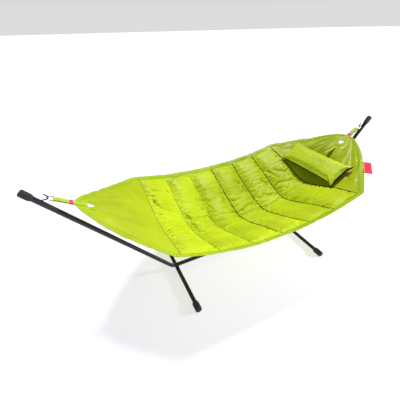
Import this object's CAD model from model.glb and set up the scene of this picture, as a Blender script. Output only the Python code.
import math

import bmesh
import bpy
import numpy as np
from mathutils import Matrix, Vector


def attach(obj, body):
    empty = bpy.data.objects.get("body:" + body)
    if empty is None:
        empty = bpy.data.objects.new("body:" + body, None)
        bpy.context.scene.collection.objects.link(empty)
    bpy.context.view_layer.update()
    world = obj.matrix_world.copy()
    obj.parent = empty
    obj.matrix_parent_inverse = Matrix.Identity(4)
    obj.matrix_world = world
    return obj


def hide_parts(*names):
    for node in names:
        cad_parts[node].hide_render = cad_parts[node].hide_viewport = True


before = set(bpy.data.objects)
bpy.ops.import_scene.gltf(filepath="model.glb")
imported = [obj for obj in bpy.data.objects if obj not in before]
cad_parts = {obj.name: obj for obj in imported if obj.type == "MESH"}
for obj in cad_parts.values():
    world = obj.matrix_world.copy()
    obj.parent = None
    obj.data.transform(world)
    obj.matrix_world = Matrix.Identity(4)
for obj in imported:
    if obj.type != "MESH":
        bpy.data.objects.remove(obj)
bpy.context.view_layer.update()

scene = bpy.context.scene
TAU = 2 * math.pi

# ------------------------ camera
CAMERA_AT = Vector((-1.16984, -1.80075, 2.03899))
YAW, PITCH, ROLL = 0.452305, 0.583282, -0.0237206
SENSOR_W, LENS = 36.0, 23.3802
SHIFT_X, SHIFT_Y = -0.03025, 0.000125


def add_camera():
    ahead = Vector((math.sin(YAW) * math.cos(PITCH), math.cos(YAW) * math.cos(PITCH), -math.sin(PITCH)))
    level = Vector((math.cos(YAW), -math.sin(YAW), 0.0))
    above = level.cross(ahead)
    right = math.cos(ROLL) * level + math.sin(ROLL) * above
    up = -math.sin(ROLL) * level + math.cos(ROLL) * above
    data = bpy.data.cameras.new("camera")
    data.sensor_width, data.lens = SENSOR_W, LENS
    data.shift_x, data.shift_y = SHIFT_X, SHIFT_Y
    data.clip_end = 2000.0
    cam = bpy.data.objects.new("camera", data)
    scene.collection.objects.link(cam)
    turn = Matrix((right, up, -ahead)).transposed()
    cam.matrix_world = Matrix.Translation(CAMERA_AT) @ turn.to_4x4()
    scene.camera = cam


add_camera()

# ------------------------ light and floor
scene.view_settings.view_transform = "Standard"
scene.view_settings.look = "None"


def add_world(low, high):
    """A studio that is white round the horizon and dimmer overhead."""
    world = bpy.data.worlds.new("studio")
    world.use_nodes = True
    tree = world.node_tree
    coords = tree.nodes.new("ShaderNodeTexCoord")
    split = tree.nodes.new("ShaderNodeSeparateXYZ")
    fade = tree.nodes.new("ShaderNodeMapRange")
    tree.links.new(coords.outputs["Generated"], split.inputs[0])
    tree.links.new(split.outputs[2], fade.inputs["Value"])
    for key, value in (("From Min", 0.05), ("From Max", 0.45), ("To Min", low), ("To Max", high)):
        fade.inputs[key].default_value = value
    tree.links.new(fade.outputs["Result"], tree.nodes["Background"].inputs["Strength"])
    tree.nodes["Background"].inputs["Color"].default_value = (1.0, 1.0, 1.0, 1.0)
    scene.world = world


def add_area(name, at, aim, size, power):
    data = bpy.data.lights.new(name, "AREA")
    data.shape = "RECTANGLE"
    data.size, data.size_y = size
    data.energy = power
    light = bpy.data.objects.new(name, data)
    scene.collection.objects.link(light)
    light.location = at
    light.rotation_euler = (Vector(aim) - Vector(at)).to_track_quat("-Z", "Y").to_euler()


def add_sun(name, from_direction, strength, width):
    """A sun that is width degrees across, for soft-edged shadows all over the floor."""
    data = bpy.data.lights.new(name, "SUN")
    data.energy = strength
    data.angle = math.radians(width)
    light = bpy.data.objects.new(name, data)
    scene.collection.objects.link(light)
    light.rotation_euler = Vector(from_direction).to_track_quat("Z", "Y").to_euler()


add_world(0.72, 0.10)
add_sun("key", (0.18, 0.38, 1.15), 3.1, 12.0)
add_area("front", (-1.2, -3.6, 3.2), (0.0, 0.0, 0.5), (2.4, 1.0), 22.0)
add_area("glint", (3.6, -1.7, 1.6), (-1.2, 0.0, 0.6), (0.5, 0.5), 150.0)


# ------------------------ material helpers
class Nodes:
    """A material's node tree, with short names for what the materials here use."""

    def __init__(self, name, color, rough, metal=0.0):
        self.mat = bpy.data.materials.new(name)
        self.mat.use_nodes = True
        self.tree = self.mat.node_tree
        self.shader = self.tree.nodes["Principled BSDF"]
        self.set("Base Color", (*color, 1.0))
        self.set("Roughness", rough)
        self.set("Metallic", metal)
        self.coords = self.node("ShaderNodeTexCoord").outputs["Object"]

    def node(self, kind, **values):
        n = self.tree.nodes.new(kind)
        for key, value in values.items():
            if key in n.inputs:
                n.inputs[key].default_value = value
            else:
                setattr(n, key, value)
        return n

    def set(self, socket, value):
        self.shader.inputs[socket].default_value = value

    def link(self, a, b):
        self.tree.links.new(a, b)
        return b

    def math(self, kind, a, b=None, c=None):
        n = self.node("ShaderNodeMath", operation=kind)
        for socket, value in zip(n.inputs, (a, b, c)):
            if value is None:
                continue
            if isinstance(value, (int, float)):
                socket.default_value = value
            else:
                self.link(value, socket)
        return n.outputs[0]

    def noise(self, scale, detail=2.0, stretch=None):
        n = self.node("ShaderNodeTexNoise", Scale=scale, Detail=detail)
        at = self.coords
        if stretch:
            m = self.node("ShaderNodeMapping", Scale=stretch)
            self.link(at, m.inputs["Vector"])
            at = m.outputs["Vector"]
        self.link(at, n.inputs["Vector"])
        return n.outputs["Fac"]

    def ramp(self, value, low, high, out_low, out_high):
        n = self.node("ShaderNodeMapRange")
        for key, v in zip(("From Min", "From Max", "To Min", "To Max"), (low, high, out_low, out_high)):
            n.inputs[key].default_value = v
        self.link(value, n.inputs["Value"])
        return n.outputs["Result"]

    def mix(self, factor, a, b):
        n = self.node("ShaderNodeMix", data_type="RGBA")
        self.link(factor, n.inputs["Factor"])
        for socket, value in ((n.inputs[6], a), (n.inputs[7], b)):
            if isinstance(value, tuple):
                socket.default_value = (*value, 1.0)
            else:
                self.link(value, socket)
        return n.outputs[2]

    def axes(self, turn=(0.0, 0.0, 0.0)):
        m = self.node("ShaderNodeMapping", Rotation=turn)
        self.link(self.coords, m.inputs["Vector"])
        s = self.node("ShaderNodeSeparateXYZ")
        self.link(m.outputs["Vector"], s.inputs[0])
        return s.outputs[0], s.outputs[1], s.outputs[2]

    def bump(self, height, distance, strength=1.0):
        n = self.node("ShaderNodeBump", Strength=strength, Distance=distance)
        self.link(height, n.inputs["Height"])
        old = self.shader.inputs["Normal"]
        if old.is_linked:
            self.link(old.links[0].from_socket, n.inputs["Normal"])
        self.link(n.outputs["Normal"], old)


def weave_height(m, pitch):
    """Height of a plain weave: threads along X and Y that pass over and under each other."""
    x, y, z = m.axes()
    k = TAU / pitch
    warp = m.math("SINE", m.math("MULTIPLY", m.math("ADD", x, z), k))
    weft = m.math("SINE", m.math("MULTIPLY", m.math("ADD", y, m.math("MULTIPLY", z, 0.6)), k))
    return m.math("MULTIPLY", warp, weft)


def satin(name, light, dark, rough=0.36, crinkle=(7.0, 7.0, 7.0)):
    """Coated polyester: a fine weave, small crinkles, soft cloudy colour and a satin gloss."""
    m = Nodes(name, light, rough)
    cloud = m.noise(3.2, 3.0)
    m.link(m.mix(m.ramp(cloud, 0.32, 0.68, 0.0, 1.0), light, dark), m.shader.inputs["Base Color"])
    m.link(m.ramp(m.noise(9.0, 4.0), 0.3, 0.7, rough - 0.05, rough + 0.09), m.shader.inputs["Roughness"])
    m.set("Specular IOR Level", 0.22)
    m.bump(m.noise(26.0, 4.0), 0.006, 0.3)
    m.bump(m.noise(1.0, 3.0, crinkle), 0.02, 0.55)
    m.bump(weave_height(m, 0.0011), 0.0002, 0.35)
    return m.mat


def webbing(name, light, dark, rough=0.55):
    """Woven band: ribs across it, threads along it, and a slightly worn colour."""
    m = Nodes(name, light, rough)
    x, y, z = m.axes()
    along = m.math("ADD", x, m.math("MULTIPLY", z, 0.6))
    rib = m.math("SINE", m.math("MULTIPLY", along, TAU / 0.0022))
    thread = m.math("SINE", m.math("MULTIPLY", y, TAU / 0.0030))
    worn = m.ramp(m.noise(38.0, 4.0), 0.3, 0.7, 0.0, 1.0)
    m.link(m.mix(worn, light, dark), m.shader.inputs["Base Color"])
    m.link(m.ramp(m.noise(60.0, 2.0), 0.3, 0.7, rough - 0.08, rough + 0.1), m.shader.inputs["Roughness"])
    m.set("Sheen Weight", 0.05)
    m.set("Specular IOR Level", 0.3)
    m.bump(m.math("MULTIPLY", rib, thread), 0.0005, 0.7)
    return m.mat


def powder_coat():
    """Near-black coating with a fine texture, a little paler where it has worn."""
    m = Nodes("powder_coat", (0.006, 0.005, 0.005), 0.28)
    wear = m.ramp(m.noise(7.0, 6.0), 0.45, 0.75, 0.0, 1.0)
    m.link(m.mix(wear, (0.005, 0.0042, 0.0042), (0.011, 0.0095, 0.009)), m.shader.inputs["Base Color"])
    m.link(m.ramp(m.noise(14.0, 5.0), 0.3, 0.7, 0.24, 0.33), m.shader.inputs["Roughness"])
    m.set("Specular IOR Level", 0.5)
    m.bump(m.noise(900.0, 1.0), 0.0003, 0.35)
    return m.mat


def knurled_rubber(name, turn, centre):
    """Rubber with a fine moulded grid: grooves round the barrel and along it."""
    m = Nodes(name, (0.022, 0.020, 0.020), 0.62)
    x, y, z = m.axes(turn)
    grooves = m.math("SINE", m.math("MULTIPLY", z, TAU / 0.0058))
    angle = m.math("ARCTAN2", m.math("SUBTRACT", y, centre[1]), m.math("SUBTRACT", x, centre[0]))
    lines = m.math("SINE", m.math("MULTIPLY", angle, 30.0))
    grid = m.math("MINIMUM", m.ramp(grooves, -0.8, 0.2, 0.0, 1.0), m.ramp(lines, -0.8, 0.2, 0.0, 1.0))
    m.link(m.mix(grid, (0.010, 0.009, 0.009), (0.030, 0.027, 0.027)), m.shader.inputs["Base Color"])
    m.link(m.ramp(m.noise(40.0, 4.0), 0.3, 0.7, 0.55, 0.75), m.shader.inputs["Roughness"])
    m.bump(grid, 0.0011, 0.9)
    return m.mat


def metal(name, color, rough, grain):
    """Plated or drawn metal whose polish varies along its surface."""
    m = Nodes(name, color, rough, 1.0)
    m.link(m.ramp(m.noise(grain, 5.0), 0.3, 0.7, rough - 0.07, rough + 0.1), m.shader.inputs["Roughness"])
    m.bump(m.noise(grain * 8.0, 2.0), 0.0002, 0.25)
    return m.mat


# ------------------------ the stand: CAD nodes with finished materials
TUBE_R = 0.019
ARM_END_X, ARM_END_Z, BEND_X, BEND_Z = 1.65, 1.2, 0.745, 0.072
ARM_TURN = math.atan2(ARM_END_Z - BEND_Z, ARM_END_X - BEND_X)
ARM_OFFSET = BEND_X * math.sin(ARM_TURN) - BEND_Z * math.cos(ARM_TURN)
LEG_X, LEG_Z = 0.705, 0.028
COAT = powder_coat()
STEEL = metal("drawn_steel", (0.50, 0.50, 0.52), 0.34, 60.0)
ZINC = metal("zinc_plate", (0.62, 0.62, 0.65), 0.30, 90.0)
NICKEL = metal("nickel_plate", (0.46, 0.43, 0.39), 0.20, 40.0)


def paint_node(name, mat):
    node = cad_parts[name]
    node.data.materials.clear()
    node.data.materials.append(mat)


def cap_turn(side):
    """Rotation that lays an arm's axis along Z, and the axis's place after it."""
    return (0.0, -side * (math.pi / 2 - ARM_TURN), 0.0), (side * ARM_OFFSET, 0.0)


for node in ("centre_beam", "left_elbow", "right_elbow", "left_arm", "right_arm", "left_leg",
             "right_leg", "left_saddle", "right_saddle", "left_hook", "right_hook"):
    paint_node(node, COAT)
for node in ("left_beam_spigot", "right_beam_spigot", "left_arm_spigot", "right_arm_spigot"):
    paint_node(node, STEEL)
for node in ("joint_screws", "leg_bolts", "weld_nuts"):
    paint_node(node, ZINC)
for node in ("foot_ring", "head_ring"):
    paint_node(node, NICKEL)
for side, name in ((-1, "left"), (1, "right")):
    turn, centre = cap_turn(side)
    paint_node(f"{name}_arm_cap", knurled_rubber(f"{name}_cap_rubber", turn, centre))
    foot = knurled_rubber(f"{name}_foot_rubber", (math.pi / 2, 0.0, 0.0), (side * LEG_X, -LEG_Z))
    for place in ("near", "far"):
        paint_node(f"{name}_{place}_foot", foot)

# ------------------------ shape of the fabric, in metres, as in the CAD
MID_HALF_W, FOOT_DRAW, HEAD_DRAW = 0.680, 0.060, 0.020
END_LEN, APRON_LEN, TIP_REACH = 0.514, 0.075, 0.094
FOOT_POWER, HEAD_POWER, TIP_BLUNT, TIP_HEM_SHARE = 0.7, 0.6, 0.01, 0.25
PILLOW_DIP, HOLLOW_HALF_SHARE = 0.060, 0.4
STRAP_RUN, STRAP_DROP = 0.245, 0.146
HOOK_X, HOOK_Z = 1.525034, 1.124301
SEAT_X, SEAT_Z = 1.519708, 1.121127
PULL_SLOPE = STRAP_DROP / STRAP_RUN
PULL = math.atan2(STRAP_DROP, STRAP_RUN)
HOLE_X, HOLE_Z = HOOK_X - STRAP_RUN, HOOK_Z - STRAP_DROP
TIP_X, FLAT_X = HOLE_X + TIP_REACH, HOLE_X - APRON_LEN
FLAT_Z = HOLE_Z - APRON_LEN * PULL_SLOPE
CORNER_X = TIP_X - END_LEN
VALLEY_Z, BRIM_Z = HOOK_Z - 0.690, HOOK_Z - 0.424
HEM_W, HEM_SLANT, HEM_SLANT_RUN, HEM_T = 0.045, 0.4, 0.060, 0.0036
PANEL_T, VALLEY_ROUND, EDGE_POWER = 0.0022, 0.2, 2.2
CHANNELS, QUILT_SHIFT, QUILT_HALF = 6, 0.010, CORNER_X - 0.035
CHANNEL_W = 2 * QUILT_HALF / CHANNELS
HOLE_LEN, STRAP_W = 0.044, 0.046


def ease(t):
    t = np.clip(t, 0.0, 1.0)
    return t * t * (3.0 - 2.0 * t)


def seam_x(i):
    return QUILT_SHIFT - QUILT_HALF + i * CHANNEL_W


def half_w(x):
    ax = np.abs(x)
    s = np.clip((ax - CORNER_X) / END_LEN, 0.0, 1.0)
    draw = np.where(x < 0, FOOT_DRAW, HEAD_DRAW)
    power = np.where(x < 0, FOOT_POWER, HEAD_POWER)
    end = (MID_HALF_W - draw) * (1 - s * (1 - TIP_BLUNT)) ** power
    return np.where(ax < CORNER_X, MID_HALF_W - draw * (ax / CORNER_X) ** 2, end)


def inner_w(x):
    s = np.clip((np.abs(x) - CORNER_X) / HEM_SLANT_RUN, 0.0, 1.0)
    w = half_w(x)
    return np.maximum(w - HEM_W * (1 + HEM_SLANT * s), TIP_HEM_SHARE * w)


def centre_z(x):
    ax = np.abs(x)
    t = np.minimum(ax / FLAT_X, 1.0)
    sag = (t ** 3 + (3 * t * t - 2 * t ** 3) ** 2) / 2
    return np.where(ax < FLAT_X, VALLEY_Z + (FLAT_Z - VALLEY_Z) * sag, FLAT_Z + (ax - FLAT_X) * PULL_SLOPE)


def edge_z(x):
    ax = np.abs(x)
    low = BRIM_Z + (FLAT_Z - BRIM_Z) * np.minimum(ax / FLAT_X, 1.0) ** EDGE_POWER
    return np.where(ax < FLAT_X, low, FLAT_Z + (ax - FLAT_X) * PULL_SLOPE)


def valley(v):
    r = VALLEY_ROUND
    return (np.sqrt(v * v + r * r) - r) / (math.sqrt(1 + r * r) - r)


def hollow(x, v):
    t = np.clip(x / FLAT_X, 0.0, 1.0)
    deep = t ** 6 * (1 - t) ** 2 / (0.75 ** 6 * 0.25 ** 2)
    return PILLOW_DIP * deep * np.exp(-((v / HOLLOW_HALF_SHARE) ** 2))


def fabric_z(x, y):
    v = y / half_w(x)
    return centre_z(x) + (edge_z(x) - centre_z(x)) * valley(v) - hollow(x, v)


def field(seed, size, count=14):
    """A smooth random field in the plane, of about that wavelength, from about -1 to 1."""
    r = np.random.default_rng(seed)
    turn, k = r.uniform(0, TAU, count), TAU / size * r.uniform(0.6, 1.7, count)
    phase = r.uniform(0, TAU, count)

    def value(x, y):
        out = 0.0
        for a, kk, p in zip(turn, k, phase):
            out = out + np.sin(kk * (x * math.cos(a) + y * math.sin(a)) + p)
        return out / math.sqrt(count)

    return value


SOFT, CRUMPLE, FINE = field(3, 0.42), field(11, 0.17), field(23, 0.075)


def tent(t):
    """A crease with a rounded crest, at t = 0."""
    return np.exp(-np.sqrt(t * t + 0.02) * 1.9)


# Folds of the end panels: place across and width as shares of the half width, height in metres
FOLD_SCALE = 1.35
HEAD_FOLDS = ((-0.86, 0.05, 0.008), (-0.66, 0.07, -0.013), (-0.47, 0.06, 0.014), (-0.29, 0.05, -0.010),
              (-0.13, 0.05, 0.012), (0.08, 0.05, -0.009), (0.24, 0.06, 0.013), (0.43, 0.05, -0.012),
              (0.60, 0.06, 0.013), (0.80, 0.06, -0.009))
FOOT_FOLDS = ((-0.80, 0.08, 0.007), (-0.55, 0.09, -0.012), (-0.27, 0.06, 0.014), (0.02, 0.07, -0.008),
              (0.30, 0.06, 0.015), (0.56, 0.08, -0.011), (0.82, 0.07, 0.007))


def folds(x, y):
    """Height that folds and soft creases add to the middle surface."""
    ax = np.abs(x)
    v = y / half_w(x)
    seam = np.where(x > 0, seam_x(CHANNELS), -seam_x(0))
    rise = ease((ax - seam) / 0.16) * (1.0 - 0.55 * ease((ax - 1.18) / 0.17))
    hole = 1.0 - np.exp(-((np.minimum(ax - HOLE_X, 0.0) / 0.11) ** 2 + (y / 0.085) ** 2))
    total = 0.0
    for side, rows in ((1, HEAD_FOLDS), (-1, FOOT_FOLDS)):
        part = 0.0
        for k, (place, width, height) in enumerate(rows):
            sway = 0.045 * np.sin(9.0 * ax + 1.7 * k)
            length = ease((ax - seam) / (0.10 + 0.05 * (k % 3)))
            part = part + FOLD_SCALE * height * length * tent((v - place - sway) / width)
        total = total + np.where(side * x > 0, part, 0.0)
    flat_under_tether = 1.0 - np.exp(-((y / 0.055) ** 2)) * ease((x - 0.93) / 0.08)
    ends = total * rise * hole * flat_under_tether
    rough = 0.0045 * CRUMPLE(x, y) * np.where(x > 0, 1.0, 0.7) * rise * hole
    soft = 0.0040 * SOFT(x, y) * (1.0 - rise) * (1.0 - 0.5 * np.abs(v))
    ripple = 0.0015 * np.sin(38.0 * x + 4.0 * SOFT(x, y)) * ease((np.abs(v) - 0.9) / 0.1) * (ax < 1.1)
    return ends + rough + soft + ripple


def surface(x, y, lift=0.0):
    """Points of the middle surface at (x, y), moved along the surface's normal by lift."""
    e = 0.0012
    z = fabric_z(x, y) + folds(x, y)
    zx = (fabric_z(x + e, y) + folds(x + e, y) - fabric_z(x - e, y) - folds(x - e, y)) / (2 * e)
    zy = (fabric_z(x, y + e) + folds(x, y + e) - fabric_z(x, y - e) - folds(x, y - e)) / (2 * e)
    n = np.stack([-zx, -zy, np.ones_like(z)], axis=-1)
    n /= np.linalg.norm(n, axis=-1, keepdims=True)
    p = np.stack([x + 0 * z, y + 0 * z, z], axis=-1)
    return p + n * (np.asarray(lift)[..., None] if np.ndim(lift) else lift)


# ------------------------ mesh helpers
def new_piece(name, points, faces, mat=None, smooth=True):
    mesh = bpy.data.meshes.new(name)
    mesh.from_pydata([tuple(map(float, p)) for p in points], [], faces)
    mesh.update()
    obj = bpy.data.objects.new(name, mesh)
    scene.collection.objects.link(obj)
    bm = bmesh.new()
    bm.from_mesh(mesh)
    bmesh.ops.recalc_face_normals(bm, faces=bm.faces)
    bm.to_mesh(mesh)
    bm.free()
    if smooth:
        mesh.polygons.foreach_set("use_smooth", [True] * len(mesh.polygons))
    if mat:
        mesh.materials.append(mat)
    return obj


def grid_faces(nx, ny, start=0, flip=False):
    quads = []
    for i in range(nx):
        for j in range(ny):
            a = start + i * (ny + 1) + j
            q = (a, a + 1, a + ny + 2, a + ny + 1)
            quads.append(q[::-1] if flip else q)
    return quads


def rim_loop(nx, ny):
    w = ny + 1
    return ([i * w for i in range(nx)] + [nx * w + j for j in range(ny)]
            + [i * w + ny for i in range(nx, 0, -1)] + list(range(ny, 0, -1)))


def two_layers(name, top, bottom, mat=None, rim=1):
    """A closed piece between two grids of points, with its rim rounded in rim + 1 steps."""
    nx, ny = top.shape[0] - 1, top.shape[1] - 1
    count = (nx + 1) * (ny + 1)
    points = [*top.reshape(-1, 3), *bottom.reshape(-1, 3)]
    faces = grid_faces(nx, ny) + grid_faces(nx, ny, count, True)
    loop = rim_loop(nx, ny)
    flat_t, flat_b = top.reshape(-1, 3), bottom.reshape(-1, 3)
    rows = [loop]
    inner_of = {}
    for k in loop:
        i, j = divmod(k, ny + 1)
        inner_of[k] = (min(max(i, 1), nx - 1)) * (ny + 1) + min(max(j, 1), ny - 1)
    for s in range(1, rim + 1):
        a = math.pi * s / (rim + 1)
        row = []
        for k in loop:
            mid, half = (flat_t[k] + flat_b[k]) / 2, (flat_t[k] - flat_b[k]) / 2
            out = mid - (flat_t[inner_of[k]] + flat_b[inner_of[k]]) / 2
            out = out / max(float(np.linalg.norm(out)), 1e-9) * float(np.linalg.norm(half))
            row.append(len(points))
            points.append(mid + half * math.cos(a) + out * math.sin(a))
        rows.append(row)
    rows.append([k + count for k in loop])
    r = len(loop)
    for a_row, b_row in zip(rows, rows[1:]):
        for i in range(r):
            j = (i + 1) % r
            faces.append((a_row[i], a_row[j], b_row[j], b_row[i]))
    return new_piece(name, points, faces, mat)


def loft(name, rings, mat=None, closed=False):
    """A tube of quads through rings of points. It is capped at both ends, or closed on itself."""
    n = len(rings[0])
    points = [p for ring in rings for p in ring]
    faces, last = [], len(rings) if closed else len(rings) - 1
    for a in range(last):
        b = (a + 1) % len(rings)
        for i in range(n):
            j = (i + 1) % n
            faces.append((a * n + i, a * n + j, b * n + j, b * n + i))
    if not closed:
        faces.append(tuple(range(n))[::-1])
        faces.append(tuple((len(rings) - 1) * n + i for i in range(n)))
    return new_piece(name, points, faces, mat)


def finish_piece(obj, body, slot, *nodes):
    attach(obj, body)
    if nodes:
        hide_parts(*nodes)
    return obj


def band_profile(width, thick):
    """Cross section of webbing: (across, out) points with rounded edges."""
    h, r = thick / 2, thick / 2
    w = width / 2 - r
    side = [(w + r * math.cos(a), h * math.sin(a)) for a in np.linspace(math.pi / 2, -math.pi / 2, 5)]
    flat = [(x, h) for x in np.linspace(-w, w, 9)[1:-1]]
    under = [(x, -h) for x in np.linspace(w, -w, 9)[1:-1]]
    return flat + side + under + [(-a, -b) for a, b in side]


def stitch_row(points, normals, pitch, length, radius):
    """Thread stitches along a line of points: a small six-sided capsule for each."""
    line, up = np.asarray(points, float), np.asarray(normals, float)
    along = np.concatenate([[0], np.cumsum(np.linalg.norm(np.diff(line, axis=0), axis=1))])
    out_p, out_f = [], []
    for s in np.arange(pitch / 2, along[-1] - length / 2, pitch):
        ends = [np.array([np.interp(q, along, line[:, c]) for c in range(3)])
                for q in (s - length / 2, s + length / 2)]
        n = np.array([np.interp(s, along, up[:, c]) for c in range(3)])
        n /= np.linalg.norm(n)
        d = (ends[1] - ends[0]) / np.linalg.norm(ends[1] - ends[0])
        b = np.cross(n, d)
        base = len(out_p)
        for t, scale in ((0.0, 0.45), (0.25, 1.0), (0.75, 1.0), (1.0, 0.45)):
            c = ends[0] + (ends[1] - ends[0]) * t + n * radius * (0.6 * scale - 0.35)
            for q in range(6):
                a = TAU * q / 6
                out_p.append(c + radius * scale * (math.cos(a) * b + math.sin(a) * n))
        for r in range(3):
            for q in range(6):
                i, j = base + r * 6 + q, base + r * 6 + (q + 1) % 6
                out_f.append((i, j, j + 6, i + 6))
        out_f.append(tuple(base + q for q in range(6))[::-1])
        out_f.append(tuple(base + 18 + q for q in range(6)))
    return out_p, out_f


def stitched(name, rows, body, slot, mat, pitch=0.0065, length=0.0046, radius=0.0007):
    points, faces = [], []
    for line, normals in rows:
        p, f = stitch_row(line, normals, pitch, length, radius)
        faces += [tuple(i + len(points) for i in q) for q in f]
        points += p
    obj = new_piece(name, points, faces, mat)
    return finish_piece(obj, body, slot)


def on_surface(x, y, lift):
    """Points on the fabric and its normals there, for a row of stitches."""
    low, high = surface(x, y, 0.0), surface(x, y, 0.001)
    n = (high - low) / 0.001
    return low + n * lift, n


# ------------------------ cloth
def inflate(obj, pinned, pressure, growth, cap, frames=20, bending=0.35, stiffness=12.0):
    """Swells a closed cloth bag, its seams pinned, and keeps each point within cap of where it was."""
    mesh = obj.data
    start = np.zeros(len(mesh.vertices) * 3)
    mesh.vertices.foreach_get("co", start)
    start = start.reshape(-1, 3)
    mod = obj.modifiers.new("swell", "CLOTH")
    cloth = mod.settings
    cloth.quality = 6
    cloth.mass = 0.25
    cloth.tension_stiffness = cloth.compression_stiffness = stiffness
    cloth.shear_stiffness = stiffness / 3
    cloth.bending_stiffness = bending
    cloth.use_pressure = True
    cloth.uniform_pressure_force = pressure
    cloth.shrink_min = -growth
    cloth.effector_weights.gravity = 0.0
    if len(pinned):
        seam = obj.vertex_groups.new(name="seam")
        seam.add([int(i) for i in pinned], 1.0, "REPLACE")
        cloth.vertex_group_mass = "seam"
    mod.collision_settings.use_collision = False
    mod.point_cache.frame_start, mod.point_cache.frame_end = 1, frames
    for f in range(1, frames + 1):
        scene.frame_set(f)
    shown = obj.evaluated_get(bpy.context.evaluated_depsgraph_get())
    now = np.zeros(len(shown.data.vertices) * 3)
    shown.data.vertices.foreach_get("co", now)
    now = now.reshape(-1, 3)
    obj.modifiers.remove(mod)
    obj.vertex_groups.clear()
    scene.frame_set(1)
    if cap:
        step = now - start
        size = np.linalg.norm(step, axis=1, keepdims=True)
        now = start + step * np.minimum(1.0, cap / np.maximum(size, 1e-9))
    mesh.vertices.foreach_set("co", now.ravel())
    mesh.update()


def smooth_once(obj, levels=1):
    mod = obj.modifiers.new("smooth", "SUBSURF")
    mod.levels = mod.render_levels = levels
    dg = bpy.context.evaluated_depsgraph_get()
    mesh = bpy.data.meshes.new_from_object(obj.evaluated_get(dg))
    obj.modifiers.clear()
    old = obj.data
    obj.data = mesh
    bpy.data.meshes.remove(old)
    obj.data.name = obj.name
    obj.data.polygons.foreach_set("use_smooth", [True] * len(obj.data.polygons))


# ------------------------ materials of the hammock
LIME = satin("lime_panel", (0.44, 0.53, 0.005), (0.36, 0.45, 0.004))
QUILT = satin("lime_quilt", (0.53, 0.66, 0.006), (0.42, 0.54, 0.004), 0.45, (9.0, 26.0, 9.0))
HEM = satin("lime_hem", (0.38, 0.52, 0.004), (0.31, 0.45, 0.003), 0.42)
PILLOW = satin("lime_pillow", (0.53, 0.67, 0.016), (0.45, 0.59, 0.010), 0.42, (12.0, 6.0, 12.0))
GREEN_WEB = webbing("green_webbing", (0.46, 0.66, 0.014), (0.36, 0.54, 0.010))
SEAM_DARK = webbing("dark_seam", (0.022, 0.034, 0.002), (0.014, 0.022, 0.001), 0.6)
SEAM_GREEN = webbing("green_seam", (0.38, 0.49, 0.005), (0.30, 0.40, 0.004), 0.6)
UNDERSIDE = satin("pillow_underside", (0.010, 0.012, 0.009), (0.006, 0.007, 0.006), 0.55)
PINK_WEB = webbing("pink_webbing", (0.80, 0.035, 0.25), (0.66, 0.025, 0.19), 0.45)
CRIMSON = webbing("crimson_label", (0.85, 0.006, 0.070), (0.72, 0.004, 0.055), 0.5)
THREAD = webbing("green_thread", (0.22, 0.36, 0.012), (0.18, 0.30, 0.010))

# ------------------------ quilt channels
CROWN = 0.025
# Deep creases of the quilt's face: from (x, y) to (x, y), depth and half width, in metres, and
# what the depths and the widths are all multiplied by
BIG_DEPTH, BIG_WIDTH = 2.2, 1.5
CREASES = (
    (-0.515, 0.13, -0.475, 0.05, 0.017, 0.009), (-0.475, 0.05, -0.42, 0.075, 0.015, 0.007),
    (-0.505, 0.02, -0.425, -0.035, 0.020, 0.009), (-0.50, -0.02, -0.46, -0.085, 0.014, 0.008),
    (-0.52, -0.07, -0.46, -0.16, 0.010, 0.008), (-0.51, -0.13, -0.45, -0.21, 0.009, 0.008),
    (-0.79, -0.17, -0.71, -0.10, 0.012, 0.008), (-0.79, -0.22, -0.70, -0.15, 0.012, 0.008),
    (-0.78, -0.27, -0.665, -0.235, 0.020, 0.009), (-0.76, -0.31, -0.62, -0.33, 0.012, 0.010),
    (-0.76, -0.34, -0.66, -0.38, 0.010, 0.010), (-0.775, 0.28, -0.735, 0.19, 0.018, 0.010),
    (-0.77, 0.33, -0.69, 0.335, 0.010, 0.009), (-0.745, 0.19, -0.64, 0.145, 0.009, 0.010),
    (-0.74, 0.41, -0.67, 0.40, 0.013, 0.012), (-0.78, 0.10, -0.70, 0.05, 0.009, 0.009),
    (-0.595, 0.42, -0.54, 0.31, 0.011, 0.008), (-0.60, 0.33, -0.545, 0.25, 0.009, 0.008),
    (-0.585, 0.20, -0.545, 0.12, 0.008, 0.007), (-0.55, 0.0, -0.66, -0.03, 0.009, 0.009),
    (-0.285, 0.10, -0.262, 0.01, 0.018, 0.008), (-0.32, 0.19, -0.275, 0.12, 0.010, 0.008),
    (-0.315, 0.28, -0.275, 0.20, 0.010, 0.008), (-0.26, 0.0, -0.16, 0.035, 0.008, 0.008),
    (-0.245, 0.24, -0.215, 0.14, 0.008, 0.008), (-0.03, 0.34, -0.005, 0.22, 0.012, 0.010),
    (-0.07, 0.27, -0.01, 0.15, 0.008, 0.008), (0.015, 0.0, 0.13, 0.055, 0.011, 0.010),
    (0.015, -0.01, 0.27, -0.035, 0.013, 0.010), (0.30, -0.035, 0.53, -0.02, 0.013, 0.011),
    (0.25, 0.30, 0.275, 0.14, 0.012, 0.012), (0.20, 0.38, 0.255, 0.26, 0.008, 0.010),
    (0.48, 0.28, 0.545, 0.12, 0.012, 0.012), (0.40, 0.12, 0.49, 0.05, 0.010, 0.010),
    (0.57, 0.40, 0.64, 0.20, 0.010, 0.012), (0.60, 0.16, 0.80, 0.07, 0.010, 0.012),
    (0.58, -0.01, 0.80, -0.02, 0.009, 0.012), (0.66, 0.30, 0.79, 0.17, 0.009, 0.010),
    (0.10, -0.30, 0.20, -0.36, 0.007, 0.009), (0.17, -0.40, 0.25, -0.47, 0.008, 0.009),
)


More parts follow.
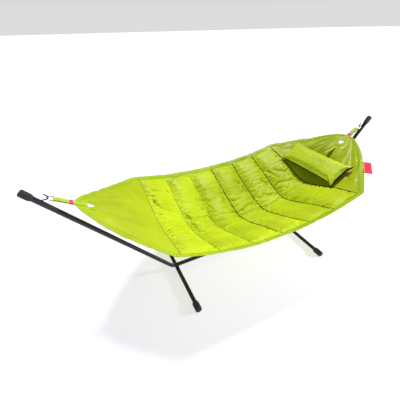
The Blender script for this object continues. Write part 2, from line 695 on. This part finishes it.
def pucker_rows(lower):
    """Short puckers that start in each seam and fade into the channels on both sides of it."""
    r = np.random.default_rng(41 + lower)
    rows = []
    for i in range(CHANNELS + 1):
        for side in (-1, 1):
            v = -0.97
            while v < 0.95:
                v += r.uniform(0.030, 0.085)
                near = math.exp(-((v / 0.35) ** 2))
                length = r.uniform(0.025, 0.080) * (1 + 0.7 * near)
                slant = r.uniform(-0.75, 0.75) * length
                depth, width = r.uniform(0.004, 0.013) * (1 + 0.8 * near), r.uniform(0.007, 0.015)
                if (i == 0 and side < 0) or (i == CHANNELS and side > 0):
                    continue
                x = seam_x(i)
                y = v * float(inner_w(x))
                rows.append((x + side * 0.003, y, x + side * length, y + slant, depth, width))
    return rows


PUCKERS = (pucker_rows(0), pucker_rows(1))


def dent(x, y, rows):
    """How far the creases press the cover in at each (x, y)."""
    deep = np.zeros_like(x)
    for x0, y0, x1, y1, depth, width in rows:
        dx, dy = x1 - x0, y1 - y0
        size = dx * dx + dy * dy
        near = (np.abs(x - (x0 + x1) / 2) < abs(dx) / 2 + 4 * width) & (
            np.abs(y - (y0 + y1) / 2) < abs(dy) / 2 + 4 * width)
        if not near.any():
            continue
        px, py = x[near] - x0, y[near] - y0
        t = np.clip((px * dx + py * dy) / size, 0.0, 1.0)
        d2 = (px - t * dx) ** 2 + (py - t * dy) ** 2
        fade = depth * np.sqrt(np.clip(1.15 - t, 0.0, 1.0)) * np.exp(-np.sqrt(d2 / width ** 2 + 0.03) * 1.5)
        deep[near] = np.maximum(deep[near], fade) + 0.3 * np.minimum(deep[near], fade)
    return deep


def press_creases(obj, i):
    """Presses puckers and creases into each cover of a channel, and through both where it is thin."""
    mesh = obj.data
    n = len(mesh.vertices)
    co, no = np.zeros(n * 3), np.zeros(n * 3)
    mesh.vertices.foreach_get("co", co)
    mesh.vertices.foreach_get("normal", no)
    co, no = co.reshape(-1, 3), no.reshape(-1, 3)
    x, y = co[:, 0], co[:, 1]
    upper = no[:, 2] > 0
    low, high = seam_x(i) - 0.02, seam_x(i + 1) + 0.02
    inset = np.minimum(np.abs(x - seam_x(i)), np.abs(x - seam_x(i + 1)))
    room = np.clip(np.abs(co[:, 2] - fabric_z(x, y) - folds(x, y)) - 0.0015, 0, 1)
    big = [(*c[:4], c[4] * BIG_DEPTH, c[5] * BIG_WIDTH) for c in CREASES
           if low < (c[0] + c[2]) / 2 < high]
    for side, rows in ((upper, PUCKERS[0] + big), (~upper, PUCKERS[1])):
        depth = dent(x[side], y[side], [c for c in rows if low < (c[0] + c[2]) / 2 < high])
        depth = np.minimum(depth, 0.85 * room[side] + 0.0004)
        co[side] -= no[side] * depth[:, None]
    deep = dent(x, y, PUCKERS[0] + big)
    co[:, 2] -= np.clip(deep - 0.85 * room, 0, 0.030) * ease(inset / 0.006)
    mesh.vertices.foreach_set("co", co.ravel())
    mesh.update()


def build_channel(i):
    nx, ny = 22, 96
    s = -np.cos(np.linspace(0.0, math.pi, nx + 1)) * 0.35 + np.linspace(-1, 1, nx + 1) * 0.65
    v = np.linspace(-1, 1, ny + 1)
    v = np.sign(v) * (1 - (1 - np.abs(v)) ** 1.08)
    ss, vv = np.meshgrid(s, v, indexing="ij")
    x = seam_x(i) + (ss + 1) / 2 * CHANNEL_W
    y = vv * inner_w(x)
    body = np.sqrt(np.maximum(1 - ss ** 2, 0)) * (1 - np.abs(vv) ** 8)
    thick = 0.0024 + (CROWN * 0.62) * body
    obj = two_layers(f"quilt_channel_{i + 1}", surface(x, y, thick), surface(x, y, -thick), QUILT, rim=0)
    loop = rim_loop(nx, ny)
    count = (nx + 1) * (ny + 1)
    inflate(obj, loop + [k + count for k in loop], 3.2, 0.03, 0.016)
    smooth_once(obj, 2)
    press_creases(obj, i)
    finish_piece(obj, "hammock", "quilt_fabric", f"channel_{i + 1}")


for i in range(CHANNELS):
    build_channel(i)


FIRST_DARK_SEAM = 3


def build_seam(i):
    """The sewn groove between two channels: a narrow tape, green at the foot end and dark after it."""
    x0 = seam_x(i)
    w = float(inner_w(x0))
    y = np.linspace(-w * 0.995, w * 0.995, 190)
    across = np.array([-0.0036, -0.0018, 0.0, 0.0018, 0.0036])
    xx, yy = np.meshgrid(x0 + across, y, indexing="ij")
    xx = xx + 0.0008 * np.sin(70 * yy)
    top = 0.0031 + 0.0006 * np.cos(np.linspace(-1.2, 1.2, 5))[:, None] + 0 * yy
    mat = SEAM_DARK if i >= FIRST_DARK_SEAM else SEAM_GREEN
    obj = two_layers(f"quilt_seam_{i + 1}", surface(xx, yy, top), surface(xx, yy, -top), mat, rim=0)
    return finish_piece(obj, "hammock", "webbing")


for i in range(CHANNELS + 1):
    build_seam(i)


# ------------------------ joints of the elbows
def joint_line(name, node, direction, mat):
    """A thin dark line round the end of a tube, where the elbow begins."""
    d = np.asarray(direction, float)
    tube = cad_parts[node]
    co = np.array([v.co for v in tube.data.vertices])
    along = co @ d
    end = along.min()
    centre = co[along < end + 0.0005]
    centre = (centre.max(0) + centre.min(0)) / 2
    side = np.cross(d, (0.0, 1.0, 0.0))
    rings = []
    for a in np.linspace(0, TAU, 49)[:-1]:
        out = side * math.cos(a) + np.array([0.0, math.sin(a), 0.0])
        ring = []
        for b in np.linspace(0, TAU, 9)[:-1]:
            ring.append(centre + out * (TUBE_R + 0.0006 * math.cos(b)) + d * 0.0012 * math.sin(b))
        rings.append(ring)
    obj = loft(name, rings, mat, closed=True)
    return finish_piece(obj, "stand", "frame_paint")


GAP = Nodes("joint_gap", (0.0015, 0.0014, 0.0014), 0.8).mat
for side, name in ((-1, "left"), (1, "right")):
    arm = (side * math.cos(ARM_TURN), 0.0, math.sin(ARM_TURN))
    joint_line(f"{name}_arm_joint", f"{name}_arm", arm, GAP)
    joint_line(f"{name}_beam_joint", "centre_beam", (-side, 0.0, 0.0), GAP)


# ------------------------ end panels, each with its strap hole
def hole_outline(grow=0.0):
    """Outline of the strap hole seen from above: straight towards the strap, round behind it."""
    r, c = HOLE_LEN / 2 + grow, 0.003 + grow
    corner_x, corner_y = HOLE_LEN / 2 - 0.003, STRAP_W / 2
    a0 = math.radians(75)
    back = [(r * math.cos(a), r * math.sin(a)) for a in np.linspace(a0, TAU - a0, 28)]
    low = [(corner_x + c * math.cos(a), -corner_y + c * math.sin(a)) for a in np.linspace(-1.4, 0, 5)]
    high = [(corner_x + c * math.cos(a), corner_y + c * math.sin(a)) for a in np.linspace(0, 1.4, 5)]
    return back + low + high


def cut_hole(obj, side):
    outline = hole_outline()
    points = [(side * (HOLE_X + px), py, z) for z in (HOLE_Z - 0.08, HOLE_Z + 0.08) for px, py in outline]
    n = len(outline)
    faces = [(i, (i + 1) % n, (i + 1) % n + n, i + n) for i in range(n)]
    faces += [tuple(range(n)), tuple(range(2 * n - 1, n - 1, -1))]
    cutter = new_piece("cutter", points, faces, smooth=False)
    mod = obj.modifiers.new("hole", "BOOLEAN")
    mod.operation, mod.solver, mod.object = "DIFFERENCE", "EXACT", cutter
    mesh = bpy.data.meshes.new_from_object(obj.evaluated_get(bpy.context.evaluated_depsgraph_get()))
    obj.modifiers.clear()
    old, obj.data = obj.data, mesh
    bpy.data.meshes.remove(old)
    gone = cutter.data
    bpy.data.objects.remove(cutter)
    bpy.data.meshes.remove(gone)
    mesh.polygons.foreach_set("use_smooth", [True] * len(mesh.polygons))


def end_stations(start, count):
    """Places along an end panel, closer together towards its rounded tip."""
    t = np.linspace(0, 1, count + 1)
    return start + (TIP_X - start) * (1 - (1 - t) ** 1.5)


def end_grid(side, nx, ny):
    x = end_stations(seam_x(CHANNELS) if side > 0 else -seam_x(0), nx)
    return np.meshgrid(side * x, np.linspace(-1, 1, ny + 1), indexing="ij")


def build_panel(side, name):
    x, v = end_grid(side, 88, 180)
    y = v * inner_w(x)
    obj = two_layers(name, surface(x, y, PANEL_T / 2), surface(x, y, -PANEL_T / 2), LIME, rim=0)
    cut_hole(obj, side)
    return obj


def hem_strip(name, x, sign, mat=HEM):
    """A folded hem between the inner and outer outline: full at its edge, thin at its stitching."""
    across = np.linspace(0, 1, 11)
    xx, tt = np.meshgrid(x, across, indexing="ij")
    y = sign * (inner_w(xx) + (half_w(xx) - inner_w(xx)) * tt)
    swell = 0.55 + 0.75 * ease(tt / 0.25) * (1 - 0.35 * ease((tt - 0.6) / 0.4))
    swell = swell * (1 - 0.42 * np.exp(-((tt - 0.10) / 0.06) ** 2))
    lift = HEM_T / 2 * swell
    return two_layers(name, surface(xx, y, lift), surface(xx, y, -lift), mat, rim=2)


# Rows of stitches along each hem, as shares of its width
HEM_ROWS = (0.10, 0.18, 0.88)
panels, rows_hem = {}, []
for side, end in ((-1, "foot"), (1, "head")):
    panel = build_panel(side, f"{end}_end_panel")
    finish_piece(panel, "hammock", "panel_fabric", f"{end}_panel")
    hems = []
    x = side * end_stations(CORNER_X, 90)
    for sign, node in ((-1, f"{end}_near_hem"), (1, f"{end}_far_hem")):
        hem = hem_strip(f"{node}_strip", x, sign)
        finish_piece(hem, "hammock", "hem_fabric", node)
        hems.append(hem)
        for share in HEM_ROWS:
            y = sign * (inner_w(x) + (half_w(x) - inner_w(x)) * share)
            rows_hem.append(on_surface(x, y, HEM_T / 2 * 0.85))
    panels[end] = (panel, hems)

for sign, node in ((-1, "near_side_hem"), (1, "far_side_hem")):
    x = np.linspace(-CORNER_X, CORNER_X, 230)
    hem = hem_strip(f"{node}_strip", x, sign)
    finish_piece(hem, "hammock", "hem_fabric", node)
    for share in HEM_ROWS:
        y = sign * (inner_w(x) + (half_w(x) - inner_w(x)) * share)
        rows_hem.append(on_surface(x, y, HEM_T / 2 * 0.85))
stitched("hem_stitching", rows_hem, "hammock", "hem_fabric", THREAD)


# ------------------------ straps, keepers and patches
RING_LEN, BAR_WRAP, STRAP_GAP, STRAP_T = 0.044, 0.0033, 0.0020, 0.0020
HOLE_D = math.hypot(STRAP_RUN, STRAP_DROP) - 0.0062
HOLE_EDGE = HOLE_D - HOLE_LEN / 2 / math.cos(PULL)
KEEPER_LEN, KEEPER_T = 0.024, 0.0016
KEEPER_D = HOLE_D - TIP_REACH / math.cos(PULL) - KEEPER_LEN - 0.008


def pulled(side, d, y, n):
    """Row-frame point at distance d down the strap, y across it and n out of its upper face."""
    c, s = math.cos(PULL), math.sin(PULL)
    return np.array([side * (SEAT_X - d * c - n * s), y, SEAT_Z - d * s + n * c])


def strap_path(grow):
    """(distance, height, outward direction) round the loop of webbing."""
    r1, r2 = BAR_WRAP + grow, STRAP_GAP + grow
    tilt = math.asin((r1 - r2) / (HOLE_EDGE - RING_LEN))
    top = math.pi / 2 - tilt
    out = []
    for a in np.linspace(top, -top, 9):
        out.append((HOLE_EDGE + r2 * math.cos(a), r2 * math.sin(a), a))
    far, near = out[-1], (RING_LEN + r1 * math.cos(-top), r1 * math.sin(-top), -top)
    for t in np.linspace(0, 1, 34)[1:-1]:
        out.append((far[0] + (near[0] - far[0]) * t, far[1] + (near[1] - far[1]) * t, -top))
    for a in np.linspace(-top, -TAU + top, 13):
        out.append((RING_LEN + r1 * math.cos(a), r1 * math.sin(a), a))
    last, first = out[-1], out[0]
    for t in np.linspace(0, 1, 34)[1:-1]:
        out.append((last[0] + (first[0] - last[0]) * t, last[1] + (first[1] - last[1]) * t, top))
    return out


def build_strap(side, end):
    profile = band_profile(STRAP_W, STRAP_T)
    rings = []
    for d, h, a in strap_path(STRAP_T / 2):
        pinch = 1.0 - 0.035 * math.exp(-((d - KEEPER_D - 0.012) / 0.02) ** 2)
        rings.append([pulled(side, d + o * math.cos(a), w * pinch, h + o * math.sin(a))
                      for w, o in profile])
    obj = loft(f"{end}_webbing_strap", rings, GREEN_WEB, closed=True)
    return finish_piece(obj, "hammock", "webbing", f"{end}_strap")


def build_keeper(side, end):
    """A band round both layers of the strap, crowned along its length."""
    t0 = (KEEPER_D - RING_LEN) / (HOLE_EDGE - RING_LEN)
    inner_h = BAR_WRAP + (STRAP_GAP - BAR_WRAP) * t0 + STRAP_T + 0.0003
    inner_w2 = STRAP_W / 2 + 0.0002

    def ring(d, w, h):
        r = 0.0024
        pts = []
        for cx, cy, a0 in ((w - r, h - r, 0), (-w + r, h - r, 1), (-w + r, -h + r, 2), (w - r, -h + r, 3)):
            for a in np.linspace(a0 * math.pi / 2, (a0 + 1) * math.pi / 2, 5):
                pts.append(pulled(side, d, cx + r * math.cos(a), cy + r * math.sin(a)))
        return pts

    section = []
    for u in np.linspace(0, 1, 13):
        bulge = KEEPER_T * (0.55 + 0.45 * math.sin(math.pi * u) ** 0.5)
        section.append((KEEPER_D + KEEPER_LEN * u, bulge))
    rings = [ring(d, inner_w2 + b, inner_h + b) for d, b in section]
    rings += [ring(d, inner_w2, inner_h) for d, _ in reversed(section)]
    obj = loft(f"{end}_pink_keeper", rings, PINK_WEB, closed=True)
    return finish_piece(obj, "hammock", "pink_webbing", f"{end}_keeper")


PATCH_REACH = 0.040


def build_patch(side, end):
    """Reinforcement behind the hole: a rounded apron with raised rings of stitching."""
    r0, r1 = HOLE_LEN / 2 * 0.99, HOLE_LEN / 2 + PATCH_REACH
    nr, na = 22, 56
    limit = math.radians(104)
    rr, aa = np.meshgrid(np.linspace(r0, r1, nr + 1), np.linspace(-limit, limit, na + 1), indexing="ij")
    px, py = -rr * np.cos(aa), rr * np.sin(aa)
    x, y = side * (HOLE_X + px * math.cos(PULL)), py
    ridge = 0.0
    for ring in (0.031, 0.044, 0.057):
        ridge = ridge + 0.0010 * np.exp(-((rr - ring) / 0.0016) ** 2)
    edge = ease((r1 - rr) / 0.004) * ease((limit - np.abs(aa)) / 0.06)
    low = PANEL_T / 2 + 0.0002
    top = low + 0.0004 + (0.0009 + ridge) * edge
    obj = two_layers(f"{end}_hole_patch", surface(x, y, top), surface(x, y, low + 0 * top), LIME, rim=0)
    finish_piece(obj, "hammock", "panel_fabric", f"{end}_patch")
    rows = []
    for ring in (0.0275, 0.0405, 0.0535, 0.0590):
        a = np.linspace(-limit * 0.94, limit * 0.94, 60)
        rows.append(on_surface(side * (HOLE_X - ring * np.cos(a) * math.cos(PULL)), ring * np.sin(a),
                               PANEL_T / 2 + 0.0017))
    seam = stitched(f"{end}_patch_stitching", rows, "hammock", "hem_fabric", THREAD, 0.0055, 0.0040, 0.0006)
    return obj, seam


for side, end in ((-1, "foot"), (1, "head")):
    build_strap(side, end)
    build_keeper(side, end)
    build_patch(side, end)


# ------------------------ side label
LABEL_OFFSET, LABEL_RUN, LABEL_REACH = 0.205, 0.110, 0.070


def edge_point(x):
    """A point of the near edge of the hammock."""
    w = float(half_w(x))
    return np.array([x, -w, float(fabric_z(x, w))])


def build_label():
    """A plain folded label in the near edge of the head panel, its free end curling a little."""
    x0 = CORNER_X + LABEL_OFFSET
    a, b = edge_point(x0), edge_point(x0 + LABEL_RUN)
    along = (b - a) / np.linalg.norm(b - a)
    level = np.array([-along[1], along[0], 0.0]) / math.hypot(along[0], along[1])
    out = -LABEL_REACH * np.cross(along, np.cross(level, along))
    face = np.cross(along, out / LABEL_REACH)
    u, w = np.meshgrid(np.linspace(0, 1, 23), np.linspace(-0.12, 1, 19), indexing="ij")
    curl = 0.0045 * np.maximum(w, 0) ** 2 * np.sin(2.2 * u + 0.5) - 0.0012 * np.sin(7 * u) * np.maximum(w, 0)
    p = a + u[..., None] * (b - a) + w[..., None] * out + curl[..., None] * face
    half = 0.0005 + 0.0004 * (np.exp(-((u - 0.03) / 0.02) ** 2) + np.exp(-((u - 0.97) / 0.02) ** 2)
                             + np.exp(-((w - 0.965) / 0.02) ** 2))
    top, low = p + half[..., None] * face, p - half[..., None] * face
    obj = two_layers("blank_side_label", top, low, CRIMSON, rim=1)
    finish_piece(obj, "hammock", "label_fabric", "side_label")
    return obj


label = build_label()

# ------------------------ pillow, its tether and tag
PILLOW_X = CORNER_X + 0.070
PILLOW_Z = float(centre_z(PILLOW_X)) + 0.084
PILLOW_TILT = math.radians(32)
PILLOW_LEN, PILLOW_W, PILLOW_T = 0.760, 0.296, 0.100


def in_pillow(p):
    """Points in the pillow's own frame (width, length, thickness), in the row frame."""
    p = np.asarray(p, float)
    c, s = math.cos(PILLOW_TILT), math.sin(PILLOW_TILT)
    return np.stack([PILLOW_X + p[..., 0] * c - p[..., 2] * s, p[..., 1] + 0 * p[..., 0],
                     PILLOW_Z + p[..., 0] * s + p[..., 2] * c], axis=-1)


def build_pillow():
    """A bag swelled by cloth pressure, dark underneath and along its foot edge and near end."""
    nx, ny = 44, 104
    foot_rows, near_rows = 1, 2
    v, u = np.meshgrid(np.linspace(-1, 1, nx + 1), np.linspace(-1, 1, ny + 1), indexing="ij")
    px = PILLOW_W / 2 * v * (1 - 0.035 * (1 - u * u))
    py = PILLOW_LEN / 2 * u * (1 - 0.02 * (1 - v * v))
    puff = ((1 - u * u) * (1 - v * v)) ** 0.5
    h = 0.0012 + 0.033 * puff + 0.0012 * FINE(px * 1.0, py * 1.0) * puff
    top, low = np.stack([px, py, h], axis=-1), np.stack([px, py, -h], axis=-1)
    obj = two_layers("rest_pillow", top, low, PILLOW, rim=0)
    obj.data.materials.append(UNDERSIDE)
    cells = nx * ny
    for k, face in enumerate(obj.data.polygons):
        face.material_index = int(k >= cells or k // ny < foot_rows or k % ny < near_rows)
    inflate(obj, [], 5.0, 0.012, 0.030, frames=22, bending=1.2)
    relax = obj.modifiers.new("relax", "SMOOTH")
    relax.factor, relax.iterations = 0.5, 4
    smooth_once(obj)
    n = len(obj.data.vertices)
    co = np.zeros(n * 3)
    obj.data.vertices.foreach_get("co", co)
    co = co.reshape(-1, 3)
    co -= (co.max(0) + co.min(0)) / 2
    size = co.max(0) - co.min(0)
    want = np.array([PILLOW_W, PILLOW_LEN, PILLOW_T])
    co *= want / size
    obj.data.vertices.foreach_set("co", in_pillow(co).ravel())
    obj.data.update()
    finish_piece(obj, "pillow", "pillow_fabric", "pillow")
    return obj


build_pillow()


def build_tag():
    """A folded loop of ribbon in the pillow's near end seam."""
    y0 = -PILLOW_LEN / 2 * 0.95
    u, w = np.meshgrid(np.linspace(0, 1, 13), np.linspace(-1, 1, 17), indexing="ij")
    px = PILLOW_W / 5 + 0.030 * u
    py = y0 + 0.014 * -w
    pz = 0.0010 * np.sin(math.pi * u) * np.maximum(w, 0)
    half = 0.0005 + 0.0011 * np.exp(-((w - 0.86) / 0.12) ** 2)
    top = in_pillow(np.stack([px, py, pz + half], axis=-1))
    low = in_pillow(np.stack([px, py, pz - half], axis=-1))
    obj = two_layers("pillow_ribbon_tag", top, low, PINK_WEB, rim=1)
    return finish_piece(obj, "pillow", "pink_webbing", "pillow_tag")


build_tag()


def build_tether(offset, width, mat, name, *nodes):
    """A straight band from the pillow to the hole, or the dark binding along its far edge."""
    edge_x = PILLOW_X + PILLOW_W / 2 * math.cos(PILLOW_TILT)
    edge_z2 = PILLOW_Z + PILLOW_W / 2 * math.sin(PILLOW_TILT)
    end_x = HOLE_X - HOLE_LEN / 2 - PATCH_REACH - 0.008
    end_z = HOLE_Z - (HOLE_X - end_x) * PULL_SLOPE + PANEL_T / 2
    run = np.array([end_x - edge_x, 0.0, end_z - edge_z2])
    length = float(np.linalg.norm(run))
    d = run / length
    n = np.array([-d[2], 0.0, d[0]])
    profile = band_profile(width, 0.0018)
    rings = []
    for t in np.linspace(0.003 / length, 1.0, 26):
        lift = 0.0012 + 0.0012 * math.sin(9 * t)
        at = np.array([edge_x, 0.0, edge_z2]) + run * t + n * lift
        rings.append([at + np.array([0.0, offset + w, 0.0]) + n * o for w, o in profile])
    obj = loft(name, rings, mat)
    return finish_piece(obj, "hammock", "webbing", *nodes)


build_tether(0.0, 0.036, GREEN_WEB, "pillow_tether_band", "pillow_tether")
build_tether(0.0215, 0.006, UNDERSIDE, "pillow_tether_binding")


# ------------------------ floor
def add_floor():
    size = 400.0
    mesh = bpy.data.meshes.new("floor")
    corners = [(x * size, y * size, 0.0) for x, y in ((-1, -1), (1, -1), (1, 1), (-1, 1))]
    mesh.from_pydata(corners, [], [(0, 1, 2, 3)])
    obj = bpy.data.objects.new("floor", mesh)
    scene.collection.objects.link(obj)
    obj.location.z = -0.0005
    m = Nodes("studio_floor", (0.43, 0.41, 0.56), 0.8)
    m.set("Emission Color", (1.0, 1.0, 1.0, 1.0))
    m.set("Emission Strength", 0.66)
    m.set("Specular IOR Level", 0.1)
    m.bump(m.noise(60.0, 2.0), 0.0005, 0.1)
    mesh.materials.append(m.mat)


add_floor()
